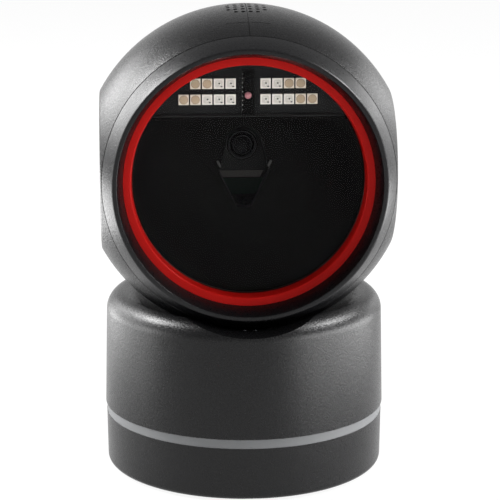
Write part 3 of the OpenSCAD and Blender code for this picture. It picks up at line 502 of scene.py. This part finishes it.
def make_lens_rings(materials):
    """Two thin retaining rings around the camera's lens."""
    # In millimetres: how far in from the barrel's edge, width and height of each ring
    ring_sizes = ((0.6, 0.4, 0.2), (1.9, 0.25, 0.15))
    low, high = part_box("imager_barrel")
    centre = front_centre(low, high)
    barrel_r = half_width(low, high)
    bm = bmesh.new()
    for inset, width, height in ring_sizes:
        add_band(bm, centre, barrel_r - inset * MM, width * MM, height * MM)
    new_piece("lens_rings", bm, materials["lens_ring"], "head")


def make_shelf_bead(materials):
    """The thin half-round bead along the front edge of the shelf under the lamp packages."""
    bead_r = 0.3 * MM
    front_gap = 0.02 * MM
    top_gap = 0.05 * MM
    end_gap = 1.5 * MM
    steps = 8
    low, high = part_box("light_baffle")
    shelf_up = high.z - axis_point.z
    half_w = math.sqrt(half_width(low, high) ** 2 - shelf_up ** 2) - end_gap
    bead_y = low.y + front_gap + bead_r
    bead_z = high.z - top_gap - bead_r
    turns = [math.pi * step / steps for step in range(steps + 1)]
    section = [(bead_y - bead_r * math.sin(turn), bead_z + bead_r * math.cos(turn)) for turn in turns]
    bm = bmesh.new()
    left = [bm.verts.new((-half_w, y, z)) for y, z in section]
    right = [bm.verts.new((half_w, y, z)) for y, z in section]
    bridge(bm, left, right)
    bm.faces.new(left)
    bm.faces.new(right)
    new_piece("shelf_bead", bm, materials["frame_black"], "head")


def make_edge_glint_dots(materials):
    """Painted highlight: a row of tiny bright metal dots down the left edge of the sensor holder, in place of the
    glint along that edge.
    """
    count = 9
    edge_inset = 0.18 * MM
    dot_r = 0.12 * MM
    dot_t = 0.05 * MM
    # The row starts at this share of the holder's height and is this share of it long
    row_start = 0.12
    row_length = 0.8
    low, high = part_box("sensor_holder")
    bm = bmesh.new()
    for step in range(count):
        share = row_start + row_length * step / (count - 1)
        place = Vector((low.x + edge_inset, low.y, low.z + (high.z - low.z) * share))
        add_disc(bm, place, dot_r, dot_t, DOT_STEPS)
    # The bright dots are a painted highlight that stands in for the glint on the holder's left edge
    new_piece("edge_glint_dots", bm, materials["led_mark"], "head")


# ---------- The underside ----------

def make_rating_label(materials):
    """A blank label on the underside of the base plate."""
    half_w = 17 * MM
    half_h = 10 * MM
    thickness = 0.12 * MM
    corner = 1.5 * MM
    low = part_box("base_plate")[0]
    origin = Vector((0, 0, 0))
    face_down = Matrix.Rotation(math.radians(90), 3, "X")
    bm = bmesh.new()
    add_plate(bm, origin, half_w, half_h, thickness, corner)
    bmesh.ops.rotate(bm, cent=origin, matrix=face_down, verts=bm.verts)
    bmesh.ops.translate(bm, vec=(0, 0, low.z), verts=bm.verts)
    new_piece("rating_label", bm, materials["label_silver"], "base")


# ---------- Camera ----------

# The viewpoint: a long lens, a little above the head and slightly to its left
VIEW_TARGET_Z = 63.74 * MM
VIEW_DISTANCE = 622.5 * MM
VIEW_PITCH = math.radians(13.83)
VIEW_YAW = math.radians(-3.4)
LENS_MM = 144.0
SENSOR_MM = 36.0
SHIFT_X = 0.0122
SHIFT_Y = 0.02
CLIP_NEAR = 0.01
CLIP_FAR = 20.0


def make_camera():
    """The camera at the viewpoint that the values above give."""
    data = bpy.data.cameras.new("camera")
    camera = bpy.data.objects.new("camera", data)
    bpy.context.scene.collection.objects.link(camera)
    flat = VIEW_DISTANCE * math.cos(VIEW_PITCH)
    camera.location = (
        flat * math.sin(VIEW_YAW), -flat * math.cos(VIEW_YAW),
        VIEW_TARGET_Z + VIEW_DISTANCE * math.sin(VIEW_PITCH),
    )
    camera.rotation_euler = (math.pi / 2 - VIEW_PITCH, 0, VIEW_YAW)
    data.lens = LENS_MM
    data.sensor_width = SENSOR_MM
    data.shift_x = SHIFT_X
    data.shift_y = SHIFT_Y
    data.clip_start = CLIP_NEAR
    data.clip_end = CLIP_FAR
    bpy.context.scene.camera = camera


# ---------- Room and floor ----------

# How bright the even light is, and how bright the room is in reflections
EVEN_LIGHT = 0.8
ROOM_FRONT = 0.35
ROOM_BACK = 1.0

# The room brightens between these two values of a ray's direction along Y, which is 1 straight back
BACK_START = 0.6
BACK_END = 1.0

# The floor: its side in metres, its place just below the feet, the width of its speckles and its greys
FLOOR_SIDE = 12.0
FLOOR_Z = -0.05 * MM
FLOOR_SPECKLE = 20 * MM
FLOOR_DARK = (0.6, 0.6, 0.6)
FLOOR_LIGHT = (0.64, 0.64, 0.64)
FLOOR_ROUGHNESS = 0.9

# How much of plain white the floor shows to the camera, to gloss and to clear materials
FLOOR_WHITE = 0.9


def light_path_share(tree, *kinds):
    """1 where a ray is of any of these kinds, as the Light Path node names them."""
    path = tree.nodes.new("ShaderNodeLightPath")
    share = path.outputs[kinds[0]]
    for kind in kinds[1:]:
        either = tree.nodes.new("ShaderNodeMath")
        either.operation = "MAXIMUM"
        tree.links.new(share, either.inputs[0])
        tree.links.new(path.outputs[kind], either.inputs[1])
        share = either.outputs[0]
    return share


def mix_shaders(tree, share, first, second):
    """The second shader where the share is 1, and the first where it is 0."""
    mix = tree.nodes.new("ShaderNodeMixShader")
    tree.links.new(share, mix.inputs["Fac"])
    tree.links.new(first.outputs[0], mix.inputs[1])
    tree.links.new(second.outputs[0], mix.inputs[2])
    return mix


def background(tree, strength=1.0):
    """A colourless light from all round, which shows as white at a strength of 1."""
    node = tree.nodes.new("ShaderNodeBackground")
    node.inputs["Color"].default_value = (1, 1, 1, 1)
    node.inputs["Strength"].default_value = strength
    return node


def make_world():
    """Even white light; gloss shows a room that is dimmer in front of the object than behind it."""
    world = bpy.data.worlds.new("studio")
    bpy.context.scene.world = world
    world.use_nodes = True
    tree = world.node_tree
    tree.nodes.clear()
    place = tree.nodes.new("ShaderNodeTexCoord")
    split = tree.nodes.new("ShaderNodeSeparateXYZ")
    tree.links.new(place.outputs["Generated"], split.inputs["Vector"])
    level = remap(tree, split.outputs["Y"], ROOM_FRONT, ROOM_BACK, start=BACK_START, end=BACK_END)
    room = background(tree)
    tree.links.new(level, room.inputs["Strength"])
    diffuse = light_path_share(tree, "Is Diffuse Ray")
    lit = mix_shaders(tree, diffuse, room, background(tree, EVEN_LIGHT))
    seen = light_path_share(tree, "Is Camera Ray", "Is Transmission Ray")
    shown = mix_shaders(tree, seen, lit, background(tree))
    out = tree.nodes.new("ShaderNodeOutputWorld")
    tree.links.new(shown.outputs[0], out.inputs["Surface"])


def make_floor():
    """A pale floor that keeps the object's shadow and otherwise shows nearly white."""
    bpy.ops.mesh.primitive_plane_add(size=FLOOR_SIDE, location=(0, 0, FLOOR_Z))
    floor = bpy.context.object
    floor.name = "floor"
    material, tree, shader = new_material("floor_white")
    grey = tint(tree, noise(tree, FLOOR_SPECKLE), FLOOR_DARK, FLOOR_LIGHT)
    tree.links.new(grey, shader.inputs["Base Color"])
    shader.inputs["Roughness"].default_value = FLOOR_ROUGHNESS
    white = tree.nodes.new("ShaderNodeEmission")
    share = tree.nodes.new("ShaderNodeMath")
    share.operation = "MULTIPLY"
    seen = light_path_share(tree, "Is Camera Ray", "Is Glossy Ray", "Is Transmission Ray")
    tree.links.new(seen, share.inputs[0])
    share.inputs[1].default_value = FLOOR_WHITE
    mix = mix_shaders(tree, share.outputs[0], shader, white)
    tree.links.new(mix.outputs[0], tree.nodes["Material Output"].inputs["Surface"])
    floor.data.materials.append(material)


# ---------- Lamps ----------

# The heights that lamps are aimed at, in metres
AT_HEAD = axis_point.z
AT_BASE = 0.035

# Bearing in degrees from the front, positive to the right; then, in metres, height, distance from the
# middle and (width, height) of the lamp; how bright its face is; and the height that it is aimed at
LAMPS = {
    "left_softbox": (-122, 0.36, 0.8, (0.75, 0.4), 5.5, AT_HEAD),
    "left_card": (-110, 0.155, 0.12, (0.07, 0.045), 4, AT_HEAD),
    "left_side": (-84, 0.1, 0.8, (0.4, 0.2), 4.5, AT_HEAD),
    "right_softbox": (125, 0.2, 0.8, (0.7, 0.25), 1.8, AT_HEAD),
    "right_card": (104, 0.15, 0.12, (0.07, 0.045), 3, AT_HEAD),
    "right_side": (76, 0.09, 0.8, (0.6, 0.2), 5, AT_HEAD),
    "left_strip": (-105, 0.035, 0.17, (0.22, 0.06), 5.5, AT_BASE),
    "right_strip": (74, 0.035, 0.17, (0.28, 0.06), 8, AT_BASE),
    "left_high": (-102, 0.76, 0.8, (0.45, 0.28), 48, AT_HEAD),
    "right_high": (86, 0.7, 0.8, (0.6, 0.22), 36, AT_HEAD),
}


def make_lamp(name, bearing, height, distance, size, radiance, aim_z):
    """A soft rectangular lamp that the camera doesn't see."""
    data = bpy.data.lights.new(name, "AREA")
    data.shape = "RECTANGLE"
    data.size, data.size_y = size
    data.energy = radiance * math.pi * size[0] * size[1]
    lamp = bpy.data.objects.new(name, data)
    bpy.context.scene.collection.objects.link(lamp)
    turn = math.radians(bearing)
    lamp.location = (distance * math.sin(turn), -distance * math.cos(turn), height)
    aim = Vector((axis_point.x, axis_point.y, aim_z))
    lamp.rotation_euler = (aim - lamp.location).to_track_quat("-Z", "Y").to_euler()
    lamp.visible_camera = False


# ---------- The scene ----------

make_camera()
make_world()
make_floor()
for lamp_name, lamp_values in LAMPS.items():
    make_lamp(lamp_name, *lamp_values)

materials = make_materials()
dress_frame(materials)
make_front_rings(materials)
make_amber_details(materials)
make_white_details(materials)
make_lens_rings(materials)
make_shelf_bead(materials)
make_edge_glint_dots(materials)
make_rating_label(materials)

bpy.context.scene.view_settings.view_transform = "Standard"
